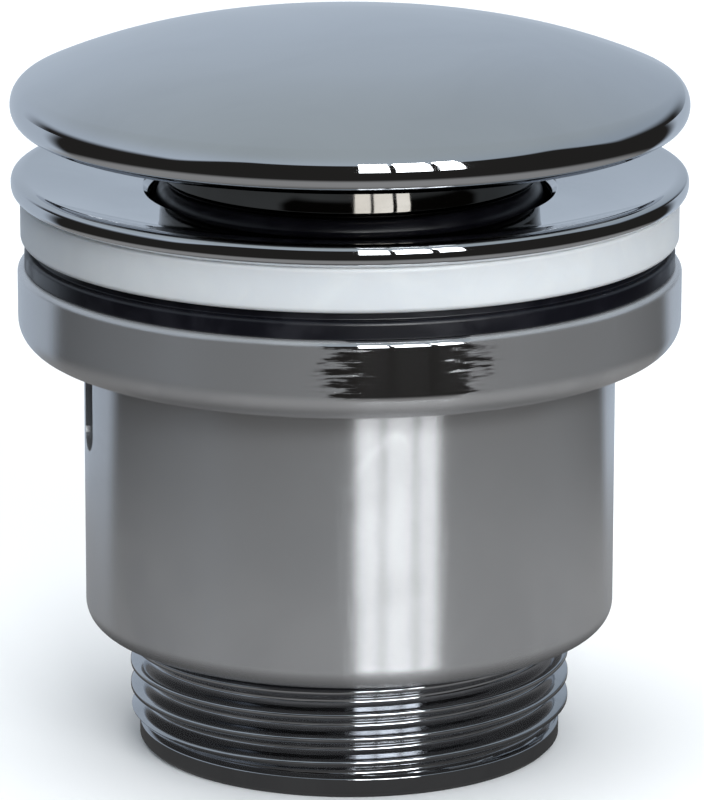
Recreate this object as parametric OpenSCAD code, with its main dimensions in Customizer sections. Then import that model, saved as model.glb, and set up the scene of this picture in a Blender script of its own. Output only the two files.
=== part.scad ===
// Pop-up basin waste: a domed cap on a press latch, a dished flange on a threaded
// stem, two basin seals and a lower body with a G1 1/4 tail.
// The origin is the centre of the tail's end face, and +Z runs up the axis.
// The cap is drawn down, as it stands when the basin is closed.

/* [Tail] */
// Major diameter of the G1 1/4 pipe thread on the tail and on the flange stem
thread_d = 41.91; // [41.5:0.01:42.3]
// Length of the tail below the barrel
tail_l = 11.8; // [9:0.1:16]
// Diameter of the plain band at the end of the tail
tail_end_d = 40.2; // [39:0.1:40.8]
// Length of the plain band at the end of the tail
tail_end_l = 1.9; // [1.2:0.1:3]
// Bore through the tail
tail_bore_d = 35.5; // [34.8:0.1:36.5]
// Chamfer on the turned edges of the lower body
edge_chamfer = 0.5; // [0.2:0.1:0.8]

/* [Lower body] */
// Diameter of the barrel
barrel_d = 50.3; // [48.5:0.1:55]
// Height of the barrel between the tail and the collar
barrel_h = 27.2; // [26:0.1:34]
// Width of the slots in the side of the barrel
side_slot_w = 3.8; // [3:0.1:5]
// Height of those slots
side_slot_h = 8.8; // [7:0.1:12]
// Distance of those slots below the collar
side_slot_drop = 0.6; // [0.4:0.1:2]
// Turn of those slots from the part's right, in degrees
side_slot_turn = 12.4; // [0:0.1:90]
// Number of those slots
side_slot_count = 2; // [1:1:4]
// Radius of the barrel's lower edge
barrel_edge_r = 2.2; // [0.8:0.1:2.8]
// Diameter of the collar that presses on the lower seal
collar_d = 62.6; // [62:0.1:68]
// Height of the collar
collar_h = 7.7; // [6:0.1:10]
// Radius of the collar's lower edge
collar_edge_r = 2.8; // [0.8:0.1:4]
// Radius of the collar's upper edge
collar_top_r = 0.6; // [0.2:0.1:1]
// Thickness of the floor around the tail bore
floor_t = 1.4; // [1:0.1:3]
// Radial clearance between the flange stem and its socket
socket_gap = 0.1; // [0.05:0.01:0.2]

/* [Basin seals] */
// Diameter of the black lower seal
lower_seal_d = 61.3; // [58:0.1:62]
// Thickness of the black lower seal
lower_seal_t = 2.5; // [2:0.1:4]
// Height of the set-back band at the top of the lower seal
lower_seal_step_t = 0.8; // [0.4:0.1:1.2]
// Depth of the set-back band
lower_seal_step_in = 0.7; // [0.3:0.1:1.2]
// Diameter of the white upper seal
upper_seal_d = 62; // [58:0.1:63]
// Thickness of the white upper seal
upper_seal_t = 4.3; // [3:0.1:6]
// Edge radius of the seals
seal_edge_r = 0.4; // [0.2:0.1:0.6]
// Radial gap between the seals and the flange stem
seal_gap = 0.45; // [0.3:0.05:0.8]

/* [Flange] */
// Diameter of the flange
flange_d = 63.7; // [62.5:0.1:70]
// Radius of the flange edge below its widest ring, which is that ring's height
flange_low_r = 1.6; // [1:0.1:2.2]
// Radius of the flange edge above its widest ring
flange_top_r = 0.85; // [0.5:0.05:1.4]
// Height of the bore rim above the flange's underside
rim_h = 0.5; // [0.3:0.1:1]
// Width of the shallow floor of the dish round the bore
dish_w = 4.5; // [3:0.1:6]
// Rise of that floor towards the edge, in degrees
dish_lean = 5.5; // [4:0.1:6.5]
// Bore of the flange and its stem
bore_d = 38; // [37:0.1:38.6]
// Length of the threaded stem below the flange
stem_l = 35; // [34:0.1:38]
// Width of an overflow slot
slot_w = 6; // [4:0.1:6.5]
// Height of an overflow slot from end to end
slot_h = 9; // [7:0.1:10]
// Distance from the flange's underside to the top of the overflow slots
slot_drop = 2.5; // [1.5:0.1:4]
// Number of overflow slots
slot_count = 4; // [2:1:6]

/* [Spider] */
// Number of arms that carry the hub
arm_count = 4; // [3:1:4]
// Width of an arm
arm_w = 3.2; // [2.5:0.1:4]
// Height of an arm
arm_h = 5; // [4:0.1:5.5]
// Diameter of the hub
hub_d = 22; // [21:0.1:23]
// Height of the hub
hub_h = 5.5; // [5.5:0.1:7]

/* [Cartridge] */
// Diameter of the cartridge shell
shell_d = 16; // [15.6:0.1:17]
// Bore of the shell around the latch
shell_bore_d = 13.2; // [12.8:0.1:13.6]
// Bore of the spring well in the foot of the shell
well_d = 10.6; // [9.8:0.1:11]
// Depth of the spring well
well_h = 4.5; // [3.5:0.1:5]
// Thickness of the shell's floor
shell_floor_t = 1.5; // [1:0.1:2]
// Diameter of the drain hole in the shell's floor
shell_drain_d = 2.4; // [1.5:0.1:4]
// Diameter of the shoulder that rests on the hub
shoulder_d = 20; // [18.6:0.1:21]
// Thickness of that shoulder
shoulder_t = 2; // [1:0.1:3]
// Radial clearance of the shell in the hub, and of its nut and washer
shell_gap = 0.05; // [0.02:0.01:0.1]
// Thickness of the locking washer
washer_t = 0.8; // [0.5:0.1:1.2]
// Diameter of the locking washer
washer_d = 21; // [19.5:0.1:22]
// Width of the cartridge nut across its flats
nut_flats = 20; // [19:0.1:20.4]
// Height of the cartridge nut
nut_h = 3.2; // [2.5:0.1:4]
// Length of the shell below its nut
shell_end_l = 1; // [0.5:0.1:2]
// Part of the gland bush that screws into the shell
gland_l = 4.4; // [4:0.1:6]
// Thickness of the gland bush's flange
gland_flange_t = 1.5; // [1:0.1:1.8]
// Thickness of the wiper ring's cord
wiper_cord_d = 1.4; // [1:0.1:1.5]
// Radial clearance of the wiper ring around the plunger
wiper_gap = 0.2; // [0.1:0.05:0.3]

/* [Latch] */
// Travel of the cap from closed up to open
open_travel = 6; // [4:0.1:6.5]
// Travel of the cap from closed down to the end of a press
press_travel = 2; // [1.5:0.1:2.4]
// Turn of the rotor between closed and open, in degrees
open_turn = 22.5; // [15:0.5:25]
// Number of lugs on the rotor
lug_count = 4; // [3:1:4]
// Width of a lug at its foot
lug_w = 2.4; // [1.8:0.1:2.6]
// Height of a lug
lug_h = 3; // [2.6:0.1:3.5]
// Clearance between the lugs and the cam rings above and below
lug_gap = 0.4; // [0.3:0.05:0.6]
// Clearance beside the lugs
lug_side_gap = 0.7; // [0.6:0.05:0.8]
// Inside diameter of the cam rings
cam_d = 9.8; // [9.6:0.1:10]
// Height of the solid band of each cam ring
cam_band_h = 2.6; // [2:0.1:3]
// Height of the teeth on the lower cam ring
cam_tooth_h = 1.8; // [1.2:0.1:2]
// Number of teeth on the lower cam ring
cam_tooth_count = 8; // [4:1:8]
// Width of the flat on top of those teeth at the ring's inside
cam_land = 0.4; // [0.2:0.05:0.6]
// Outside diameter of the rotor sleeve
rotor_d = 8.6; // [8:0.1:8.8]
// Length of the rotor sleeve
rotor_l = 5.5; // [4.5:0.1:5.7]
// End play of the rotor on the plunger
end_play = 0.1; // [0.05:0.01:0.15]
// Height of the return spring with the cap closed
spring_l = 10; // [9.8:0.1:11]
// Mean diameter of the return spring
spring_d = 7.4; // [7:0.1:7.8]
// Wire of the return spring
wire_d = 0.9; // [0.6:0.05:1]
// Turns of the return spring
spring_turns = 7; // [4:1:8]
// Thickness of the spring seat
seat_t = 1; // [0.6:0.1:1.4]
// Diameter of the spring seat
seat_d = 8.8; // [8.4:0.1:9]
// Thickness of the thrust washer under the rotor
thrust_t = 0.5; // [0.3:0.1:0.8]

/* [Plunger] */
// Diameter of the plunger in the gland bush
plunger_d = 8.8; // [8.4:0.1:9]
// Diameter of the plunger's lower stem, on which the rotor turns
stem_d = 5; // [4:0.1:5.6]
// Length of the lower stem below the spring seat
stem_end_l = 0.6; // [0.3:0.1:1]
// Diameter of the stud that the cap screws on to
stud_d = 6; // [5:0.1:7]
// Length of the stud above the boss's underside
stud_l = 5.4; // [4:0.1:6]
// Running clearance of the plunger and the rotor
run_gap = 0.05; // [0.02:0.01:0.1]

/* [Plug] */
// Depth by which the chromed boss under the cap stands back from the seal's shoulder
boss_in = 0.6; // [0.4:0.1:2]
// Height of the boss's lower edge above the flange's underside, with the cap closed
boss_rise = 1.1; // [0.5:0.1:2]
// Thickness of the boss's floor
boss_floor_t = 2.4; // [1.5:0.1:3]
// Wall of the boss
boss_wall = 2.2; // [1.2:0.1:3]
// Diameter of the post inside the boss
post_d = 12; // [10:0.1:14]
// Diameter of the spigot that carries the plug seal
spigot_d = 18; // [14:0.1:20]
// Thickness of the plug seal
plug_seal_t = 4.1; // [3.5:0.1:4.4]
// Radial clearance of the plug seal's lip in the bore
plug_lip_gap = 0.3; // [0.2:0.05:0.5]
// Depth by which the seal's shoulder stands back from its lip
plug_lip_in = 0.5; // [0.3:0.1:0.8]
// Height of the plug seal's lip
plug_lip_h = 1.3; // [0.8:0.1:1.8]
// Diameter of the retainer under the plug seal
retainer_d = 26; // [22:0.1:30]
// Thickness of the retainer
retainer_t = 2; // [1.5:0.1:2.2]

/* [Cap] */
// Diameter of the domed cap
cap_d = 63.72; // [62:0.01:70]
// Height of the cap's lip above the boss's lower edge
lip_rise = 5.5; // [4.8:0.1:7]
// Radius of the dome at its crown
crown_r = 112; // [95:1:130]
// Half width of the crown before the dome begins to fall away
crown_half = 17; // [14:0.1:18]
// Radius of the dome between crown and edge
dome_r = 51; // [48:0.5:60]
// Radius of the cap's edge above its widest ring
cap_edge_r = 1.6; // [1.2:0.1:2.2]
// Height of the widest ring above the lip
cap_low_h = 2.4; // [1.8:0.1:3]
// Depth by which the lip stands back from the widest ring
cap_low_in = 1.06; // [0.6:0.02:1.4]
// Width of the lip's flat underside
lip_w = 1.4; // [1:0.1:2.2]
// Wall of the dome
cap_wall = 1.6; // [1.2:0.1:2]

/* [Hidden] */
$fn = 96;

// Points along each rounded stretch of an outline
arc_steps = 10;
// Overlap that lets cutting shapes pass clear through a wall
cut = 1;
// Sides and rings per turn of the spring wire
wire_sides = 8;
wire_steps = 18;

// Radii
thread_r = thread_d / 2;
tail_end_r = tail_end_d / 2;
tail_bore_r = tail_bore_d / 2;
barrel_r = barrel_d / 2;
collar_r = collar_d / 2;
socket_r = thread_r + socket_gap;
seal_in_r = thread_r + seal_gap;
flange_r = flange_d / 2;
bore_r = bore_d / 2;
shell_r = shell_d / 2;
shell_bore_r = shell_bore_d / 2;
cam_r = cam_d / 2;
lug_r = shell_bore_r - lug_gap;
plunger_r = plunger_d / 2;
gland_bore_r = plunger_r + run_gap;
wiper_r = plunger_r + wiper_gap + wiper_cord_d / 2;
lip_seal_r = bore_r - plug_lip_gap;
cap_r = cap_d / 2;

// Levels of the lower body and the basin clamp
z_barrel = tail_l;
z_cone_low = z_barrel + floor_t;
z_cone_top = z_cone_low + socket_r - tail_bore_r;
z_collar = z_barrel + barrel_h;
z_seat = z_collar + collar_h;
z_upper_seal = z_seat + lower_seal_t;
z_flange = z_upper_seal + upper_seal_t;
z_widest = z_flange + flange_low_r;
z_stem_end = z_flange - stem_l;
z_hub_top = z_stem_end + hub_h;

// Levels of the cartridge, from its foot up
z_washer = z_stem_end - washer_t;
z_nut = z_washer - nut_h;
z_shell = z_nut - shell_end_l;
z_floor = z_shell + shell_floor_t;
z_well_top = z_floor + well_h;
z_low_band = z_well_top + cam_band_h;
z_spring_top = z_floor + spring_l;
z_thrust = z_spring_top + seat_t;
z_rotor = z_thrust + thrust_t + end_play;
z_rotor_top = z_rotor + rotor_l;
z_lug_top = z_rotor + lug_h;
z_cam_tip = z_lug_top - press_travel + lug_gap;
z_cam_roof = z_lug_top + open_travel + lug_gap;
z_gland = z_cam_roof + cam_band_h;
z_shell_top = z_gland + gland_l;
z_plunger = z_rotor_top + end_play;
z_wiper = z_gland + gland_l / 2;

// Levels of the plug and the cap
z_boss = z_flange + boss_rise;
z_plug_seal = z_boss - plug_seal_t;
z_retainer = z_plug_seal - retainer_t;
z_lip = z_boss + lip_rise;
z_cap_wide = z_lip + cap_low_h;

// Path of a lug: how far it moves round for each millimetre that it rises
lug_mean_r = (cam_r + lug_r) / 2;
lug_lean = lug_mean_r * open_turn * PI / 180 / open_travel;

// Dome: the angles where its arcs meet, and their centres
crown_a = asin(crown_half / crown_r);
dome_a = asin((cap_r - crown_half - cap_edge_r + dome_r * sin(crown_a)) / (dome_r - cap_edge_r));
dome_cx = crown_half - dome_r * sin(crown_a);
edge_cx = cap_r - cap_edge_r;
dome_cz = z_cap_wide - (dome_r - cap_edge_r) * cos(dome_a);
crown_cz = dome_cz - (crown_r - dome_r) * cos(crown_a);
low_a = 2 * atan(cap_low_in / cap_low_h);
low_arc_r = cap_low_h / sin(low_a);
lip_r = cap_r - cap_low_in;
lip_in_r = lip_r - lip_w;
dome_in_r = dome_r - cap_wall;
crown_in_half = crown_half - cap_wall * sin(crown_a);
crown_in_r = crown_r - cap_wall;
dome_in_a = asin((lip_in_r - dome_cx) / dome_in_r);

// Points on an arc about (cx, cz) from angle a0 to angle a1
function arc(cx, cz, r, a0, a1) =
    [for (i = [0:arc_steps]) let (a = a0 + (a1 - a0) * i / arc_steps) [cx + r * cos(a), cz + r * sin(a)]];

// Height of the inside of the cap at radius r, on the crown's arc or beyond it on the dome's
function inside_z(r) = r <= crown_in_half ?
    crown_cz + sqrt(crown_in_r * crown_in_r - r * r) :
    dome_cz + sqrt(dome_in_r * dome_in_r - (r - dome_cx) * (r - dome_cx));

// Points on the inside of the cap from radius r0 to radius r1
function cap_inside(r0, r1) =
    [for (i = [0:arc_steps]) let (r = r0 + (r1 - r0) * i / arc_steps) [r, inside_z(r)]];

// Solid of revolution of an outline of [radius, height] points
module turned(outline) {
    rotate_extrude() polygon(outline);
}

// Round-ended slot of width w and height h below z_top, from the axis along +X as far as reach
module slot_cut(w, h, z_top, reach) {
    end_r = w / 2;
    for (z = [z_top - h + end_r, z_top - end_r]) translate([0, 0, z]) rotate([0, 90, 0]) cylinder(r = end_r, h = reach);
    translate([0, -end_r, z_top - h + end_r]) cube([reach, w, h - w]);
}

// Ring with flat faces
module ring(outer_r, inner_r, low, high) {
    turned([[inner_r, low], [outer_r, low], [outer_r, high], [inner_r, high]]);
}

// Prism that runs out along +X from the axis, from an outline of [sideways, height] points
module radial_prism(outline, reach) {
    rotate([90, 0, 90]) linear_extrude(reach) polygon(outline);
}

// Copies turned evenly about the axis
module round_copies(count, start = 0) {
    for (i = [0:count - 1]) rotate([0, 0, start + 360 * i / count]) children();
}

// Lower body: tail, barrel and collar turned in one piece, with a socket for the stem
module lower_body() {
    color("silver")
    difference() {
        turned(concat(
            [[tail_bore_r + edge_chamfer, 0], [tail_end_r - edge_chamfer, 0]],
            [[tail_end_r, edge_chamfer], [tail_end_r, tail_end_l]],
            [[thread_r, tail_end_l + thread_r - tail_end_r], [thread_r, z_barrel]],
            arc(barrel_r - barrel_edge_r, z_barrel + barrel_edge_r, barrel_edge_r, -90, 0),
            [[barrel_r, z_collar]],
            arc(collar_r - collar_edge_r, z_collar + collar_edge_r, collar_edge_r, -90, 0),
            arc(collar_r - collar_top_r, z_seat - collar_top_r, collar_top_r, 0, 90),
            [[socket_r + edge_chamfer, z_seat], [socket_r, z_seat - edge_chamfer]],
            [[socket_r, z_cone_top], [tail_bore_r, z_cone_low], [tail_bore_r, edge_chamfer]]
        ));
        round_copies(side_slot_count, side_slot_turn)
            slot_cut(side_slot_w, side_slot_h, z_collar - side_slot_drop, barrel_r + cut);
    }
}

// Lower seal: black rubber ring with a set-back band along its top edge
module lower_seal() {
    outer_r = lower_seal_d / 2;
    band_z = z_upper_seal - lower_seal_step_t;
    color("black")
    turned(concat(
        [[seal_in_r, z_seat], [outer_r, z_seat]],
        arc(outer_r - seal_edge_r, band_z - seal_edge_r, seal_edge_r, 0, 90),
        [[outer_r - lower_seal_step_in, band_z], [outer_r - lower_seal_step_in, z_upper_seal]],
        [[seal_in_r, z_upper_seal]]
    ));
}

// Upper seal: white ring that lies between the basin and the flange
module upper_seal() {
    outer_r = upper_seal_d / 2;
    color("white")
    turned(concat(
        [[seal_in_r, z_upper_seal]],
        arc(outer_r - seal_edge_r, z_upper_seal + seal_edge_r, seal_edge_r, -90, 0),
        arc(outer_r - seal_edge_r, z_flange - seal_edge_r, seal_edge_r, 0, 90),
        [[seal_in_r, z_flange]]
    ));
}

// Flange: dished plate with a rounded edge, its threaded stem, and the spider with its hub
module flange() {
    edge_low_x = flange_r - flange_low_r;
    edge_top_x = flange_r - flange_top_r;
    // Bowl of the dish: an arc that leaves its shallow floor and runs into the rounded edge
    floor_x = bore_r + edge_chamfer + dish_w;
    floor_z = z_flange + rim_h + dish_w * tan(dish_lean);
    away_x = edge_top_x - floor_x;
    away_z = z_widest - floor_z;
    bowl_r = (away_x * away_x + away_z * away_z - flange_top_r * flange_top_r)
        / (2 * (flange_top_r - away_x * sin(dish_lean) + away_z * cos(dish_lean)));
    bowl_x = floor_x - bowl_r * sin(dish_lean);
    bowl_z = floor_z + bowl_r * cos(dish_lean);
    bowl_a = atan2(z_widest - bowl_z, edge_top_x - bowl_x);
    color("silver")
    difference() {
        union() {
            difference() {
                turned(concat(
                    [[bore_r, z_stem_end], [thread_r - edge_chamfer, z_stem_end]],
                    [[thread_r, z_stem_end + edge_chamfer], [thread_r, z_flange]],
                    arc(edge_low_x, z_widest, flange_low_r, -90, 0),
                    arc(edge_top_x, z_widest, flange_top_r, 0, 180 + bowl_a),
                    arc(bowl_x, bowl_z, bowl_r, bowl_a, dish_lean - 90),
                    [[bore_r + edge_chamfer, z_flange + rim_h], [bore_r, z_flange + rim_h - edge_chamfer]]
                ));
                round_copies(slot_count) slot_cut(slot_w, slot_h, z_flange - slot_drop, thread_r + cut);
            }
            intersection() {
                round_copies(arm_count, 180 / arm_count)
                    translate([0, -arm_w / 2, z_stem_end]) cube([thread_r, arm_w, arm_h]);
                translate([0, 0, z_stem_end]) cylinder(r = bore_r + edge_chamfer, h = arm_h);
            }
            translate([0, 0, z_stem_end]) cylinder(d = hub_d, h = hub_h);
        }
        translate([0, 0, z_stem_end - cut]) cylinder(r = shell_r + shell_gap, h = hub_h + 2 * cut);
    }
}

// Cartridge shell: brass tube that stands through the hub on its shoulder
module cartridge_shell() {
    shoulder_r = shoulder_d / 2;
    color("goldenrod")
    turned([
        [shell_drain_d / 2, z_shell], [shell_r, z_shell], [shell_r, z_hub_top], [shoulder_r, z_hub_top],
        [shoulder_r, z_hub_top + shoulder_t], [shell_r, z_hub_top + shoulder_t], [shell_r, z_shell_top],
        [shell_bore_r, z_shell_top], [shell_bore_r, z_well_top], [well_d / 2, z_well_top],
        [well_d / 2, z_floor], [shell_drain_d / 2, z_floor]
    ]);
}

// Locking washer between the hub and the cartridge nut
module lock_washer() {
    color("lightgray") ring(washer_d / 2, shell_r + shell_gap, z_washer, z_stem_end);
}

// Cartridge nut: thin hexagon on the foot of the shell
module cartridge_nut() {
    color("gold")
    translate([0, 0, z_nut])
    difference() {
        cylinder(d = nut_flats / cos(30), h = nut_h, $fn = 6);
        translate([0, 0, -cut]) cylinder(r = shell_r + shell_gap, h = nut_h + 2 * cut);
    }
}

// Lower cam ring: saw teeth that turn the rotor at the end of a press
module lower_cam_ring() {
    z_tip = z_low_band + cam_tooth_h;
    ramp_half = cam_r * sin(180 / cam_tooth_count) - cam_land / 2;
    color("ivory")
    difference() {
        ring(shell_bore_r, cam_r, z_well_top, z_tip);
        round_copies(cam_tooth_count)
            radial_prism(
                [[-ramp_half, z_low_band], [ramp_half, z_tip], [ramp_half, z_tip + cut],
                 [-ramp_half, z_tip + cut]],
                shell_bore_r + cut
            );
    }
}

// Upper cam ring: a leaning slot for each lug, whose overhang holds the cap down
module upper_cam_ring() {
    slot_low = z_cam_tip - cut;
    slot_right = lug_w / 2 + lug_lean * open_travel + lug_side_gap;
    slot_left = -lug_w / 2 - lug_side_gap;
    color("ivory")
    difference() {
        ring(shell_bore_r, cam_r, z_cam_tip, z_gland);
        round_copies(lug_count)
            radial_prism(
                [[slot_left + lug_lean * (slot_low - z_rotor), slot_low], [slot_right, slot_low],
                 [slot_right, z_cam_roof], [slot_left + lug_lean * (z_cam_roof - z_rotor), z_cam_roof]],
                shell_bore_r + cut
            );
    }
}

// Gland bush: screws into the shell, guides the plunger and holds the wiper ring
module gland_bush() {
    groove_half = wiper_cord_d / 2 + run_gap;
    groove_r = wiper_r + groove_half;
    color("goldenrod")
    turned([
        [gland_bore_r, z_gland], [shell_bore_r, z_gland], [shell_bore_r, z_shell_top], [shell_r, z_shell_top],
        [shell_r, z_shell_top + gland_flange_t], [gland_bore_r, z_shell_top + gland_flange_t],
        [gland_bore_r, z_wiper + groove_half], [groove_r, z_wiper + groove_half],
        [groove_r, z_wiper - groove_half], [gland_bore_r, z_wiper - groove_half]
    ]);
}

// Wiper ring: round rubber cord that keeps the water out of the latch
module wiper_ring() {
    color("dimgray") rotate_extrude() translate([wiper_r, z_wiper]) circle(d = wiper_cord_d);
}

// Corners of the spring wire's section at step i of the coil
function wire_section(i, steps) =
    let (turn = 360 * spring_turns * i / steps)
    let (z = z_floor + wire_d / 2 + (spring_l - wire_d) * i / steps)
    [for (j = [0:wire_sides - 1])
        let (b = 360 * j / wire_sides)
        let (r = spring_d / 2 + wire_d / 2 * cos(b))
        [r * cos(turn), r * sin(turn), z + wire_d / 2 * sin(b)]];

// Return spring: lifts the plunger from the floor of the shell
module return_spring() {
    steps = spring_turns * wire_steps;
    points = [for (i = [0:steps]) each wire_section(i, steps)];
    sides = [for (i = [0:steps - 1]) for (j = [0:wire_sides - 1])
        let (a = i * wire_sides)
        let (k = (j + 1) % wire_sides)
        [a + j, a + k, a + wire_sides + k, a + wire_sides + j]];
    first_end = [for (j = [wire_sides - 1:-1:0]) j];
    last_end = [for (j = [0:wire_sides - 1]) steps * wire_sides + j];
    color("darkgray") polyhedron(points, concat(sides, [first_end, last_end]));
}

// Spring seat: pressed on the end of the plunger's stem
module spring_seat() {
    color("goldenrod") ring(seat_d / 2, stem_d / 2, z_spring_top, z_thrust);
}

// Thrust washer: lets the rotor turn without winding the spring
module thrust_washer() {
    color("lightgray") ring(rotor_d / 2, stem_d / 2 + run_gap, z_thrust, z_thrust + thrust_t);
}

// Rotor: sleeve with leaning lugs that travel in the cam rings
module rotor() {
    half_w = lug_w / 2;
    bore = stem_d / 2 + run_gap;
    color("orangered")
    union() {
        ring(rotor_d / 2, bore, z_rotor, z_rotor_top);
        intersection() {
            round_copies(lug_count)
                radial_prism(
                    [[-half_w, z_rotor], [half_w, z_rotor], [half_w, z_lug_top],
                     [-half_w + lug_lean * lug_h, z_lug_top]],
                    lug_r + cut
                );
            ring(lug_r, rotor_d / 2 - run_gap, z_rotor, z_lug_top);
        }
    }
}

// Plunger: stem for the rotor, guided shaft, and stud for the cap
module plunger() {
    stem_r = stem_d / 2;
    stud_r = stud_d / 2;
    color("goldenrod")
    turned([
        [0, z_spring_top - stem_end_l], [stem_r, z_spring_top - stem_end_l], [stem_r, z_plunger],
        [plunger_r, z_plunger], [plunger_r, z_retainer], [stud_r, z_retainer],
        [stud_r, z_boss + stud_l], [0, z_boss + stud_l]
    ]);
}

// Seal retainer: disc that clamps the plug seal against the boss
module seal_retainer() {
    color("goldenrod") ring(retainer_d / 2, stud_d / 2 + run_gap, z_retainer, z_plug_seal);
}

// Plug seal: black rubber ring whose lip closes the bore
module plug_seal() {
    shoulder_r = lip_seal_r - plug_lip_in;
    color("black")
    turned(concat(
        [[spigot_d / 2, z_plug_seal], [lip_seal_r, z_plug_seal], [lip_seal_r, z_plug_seal + plug_lip_h / 2]],
        [[shoulder_r, z_plug_seal + plug_lip_h]],
        arc(shoulder_r - plug_lip_h, z_boss - plug_lip_h, plug_lip_h, 0, 90),
        [[spigot_d / 2, z_boss]]
    ));
}

// Plug boss: chromed cup soldered under the dome, with a post tapped for the plunger
module plug_boss() {
    boss_r = lip_seal_r - plug_lip_in - boss_in;
    hole_r = stud_d / 2 + run_gap;
    z_floor_top = z_boss + boss_floor_t;
    z_post = z_boss + stud_l + cut;
    color("silver")
    turned(concat(
        [[hole_r, z_plug_seal], [spigot_d / 2, z_plug_seal], [spigot_d / 2, z_boss], [boss_r, z_boss]],
        cap_inside(boss_r, boss_r - boss_wall),
        [[boss_r - boss_wall, z_floor_top], [post_d / 2, z_floor_top], [post_d / 2, z_post], [hole_r, z_post]]
    ));
}

// Domed cap: shell with a rounded edge and a narrow flat lip
module dome_cap() {
    color("silver")
    turned(concat(
        [[lip_in_r, z_lip]],
        arc(cap_r - low_arc_r, z_cap_wide, low_arc_r, -low_a, 0),
        arc(edge_cx, z_cap_wide, cap_edge_r, 0, 90 - dome_a),
        arc(dome_cx, dome_cz, dome_r, 90 - dome_a, 90 - crown_a),
        arc(0, crown_cz, crown_r, 90 - crown_a, 90),
        cap_inside(0, crown_in_half),
        arc(dome_cx, dome_cz, dome_in_r, 90 - crown_a, 90 - dome_in_a)
    ));
}

lower_body();
lower_seal();
upper_seal();
flange();
cartridge_shell();
lock_washer();
cartridge_nut();
lower_cam_ring();
upper_cam_ring();
gland_bush();
wiper_ring();
return_spring();
spring_seat();
thrust_washer();
rotor();
plunger();
seal_retainer();
plug_seal();
plug_boss();
dome_cap();
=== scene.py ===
import functools
import math

import bmesh
import bpy
import numpy as np
from mathutils import Matrix, Vector
from mathutils.kdtree import KDTree


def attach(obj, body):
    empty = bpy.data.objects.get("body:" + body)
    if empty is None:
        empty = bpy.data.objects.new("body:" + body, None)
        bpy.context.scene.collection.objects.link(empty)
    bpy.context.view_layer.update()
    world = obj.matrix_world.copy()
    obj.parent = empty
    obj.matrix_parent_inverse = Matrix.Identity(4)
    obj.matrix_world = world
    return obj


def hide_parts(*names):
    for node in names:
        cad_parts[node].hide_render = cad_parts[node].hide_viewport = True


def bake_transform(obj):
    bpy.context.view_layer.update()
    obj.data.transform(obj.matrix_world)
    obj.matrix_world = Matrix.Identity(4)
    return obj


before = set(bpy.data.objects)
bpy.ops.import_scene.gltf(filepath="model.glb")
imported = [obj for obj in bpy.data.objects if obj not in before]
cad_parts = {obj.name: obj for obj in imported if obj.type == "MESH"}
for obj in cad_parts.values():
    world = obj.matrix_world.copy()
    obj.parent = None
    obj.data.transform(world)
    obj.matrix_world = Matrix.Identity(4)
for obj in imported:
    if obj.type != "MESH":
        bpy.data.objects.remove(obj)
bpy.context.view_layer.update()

# Lower body: tail, barrel and collar turned in one piece from brass bar, with two slots in
# the barrel, then chrome plated. The tool's fine rings draw reflections out into upright
# bands, and a patch of the collar is rubbed bright. Sizes are in millimetres.
MM = 0.001
ROUND_STEPS = 320
SLOT_STEPS = 40
ARC_STEP = math.radians(7)
SAME_SPOT = 2e-7


def rounded(corners):
    """Outline through (radius, height, rounding) corners, each rounded by its own arc."""
    points = []
    for i, (r, z, rounding) in enumerate(corners):
        here = Vector((r, z))
        if not rounding:
            points.append(here)
            continue
        back = (Vector(corners[i - 1][:2]) - here).normalized()
        onward = (Vector(corners[(i + 1) % len(corners)][:2]) - here).normalized()
        half = back.angle(onward) / 2
        centre = here + (back + onward).normalized() * rounding / math.sin(half)
        start = here + back * rounding / math.tan(half) - centre
        end = here + onward * rounding / math.tan(half) - centre
        turn = math.pi - 2 * half
        steps = max(2, math.ceil(turn / ARC_STEP))
        for k in range(steps + 1):
            a = turn * k / steps
            points.append(centre + (start * math.sin(turn - a) + end * math.sin(a)) / math.sin(turn))
    return points


def slotted(mesh, width, low, high, depths, bearings):
    """Mesh with round-ended slots cut through its wall between two depths from the axis."""
    cutter = bmesh.new()
    half = width / 2
    for bearing in bearings:
        ring = []
        for k in range(SLOT_STEPS):
            a = 2 * math.pi * k / SLOT_STEPS
            middle = high - half if math.sin(a) > 1e-6 else low + half
            ring.append((half * math.cos(a), middle + half * math.sin(a)))
        turn = Matrix.Rotation(math.radians(bearing), 3, "Z")
        near, far = [
            [cutter.verts.new(turn @ Vector((deep, s, h)) * MM) for s, h in ring] for deep in depths
        ]
        cutter.faces.new(near[::-1])
        cutter.faces.new(far)
        for k in range(SLOT_STEPS):
            n = (k + 1) % SLOT_STEPS
            cutter.faces.new((near[k], near[n], far[n], far[k]))
    bmesh.ops.recalc_face_normals(cutter, faces=cutter.faces)
    cutter_mesh = bpy.data.meshes.new("slot_cutter")
    cutter.to_mesh(cutter_mesh)
    cutter.free()
    uncut = bpy.data.objects.new("uncut", mesh)
    tool = bpy.data.objects.new("slot_cutter", cutter_mesh)
    for part in (uncut, tool):
        bpy.context.scene.collection.objects.link(part)
    cut = uncut.modifiers.new("slots", "BOOLEAN")
    cut.object = tool
    cut.operation = "DIFFERENCE"
    cut.solver = "EXACT"
    bpy.context.view_layer.update()
    made = bpy.data.meshes.new_from_object(uncut.evaluated_get(bpy.context.evaluated_depsgraph_get()))
    for part in (uncut, tool):
        bpy.data.objects.remove(part)
    made.shade_smooth()
    return made


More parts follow.
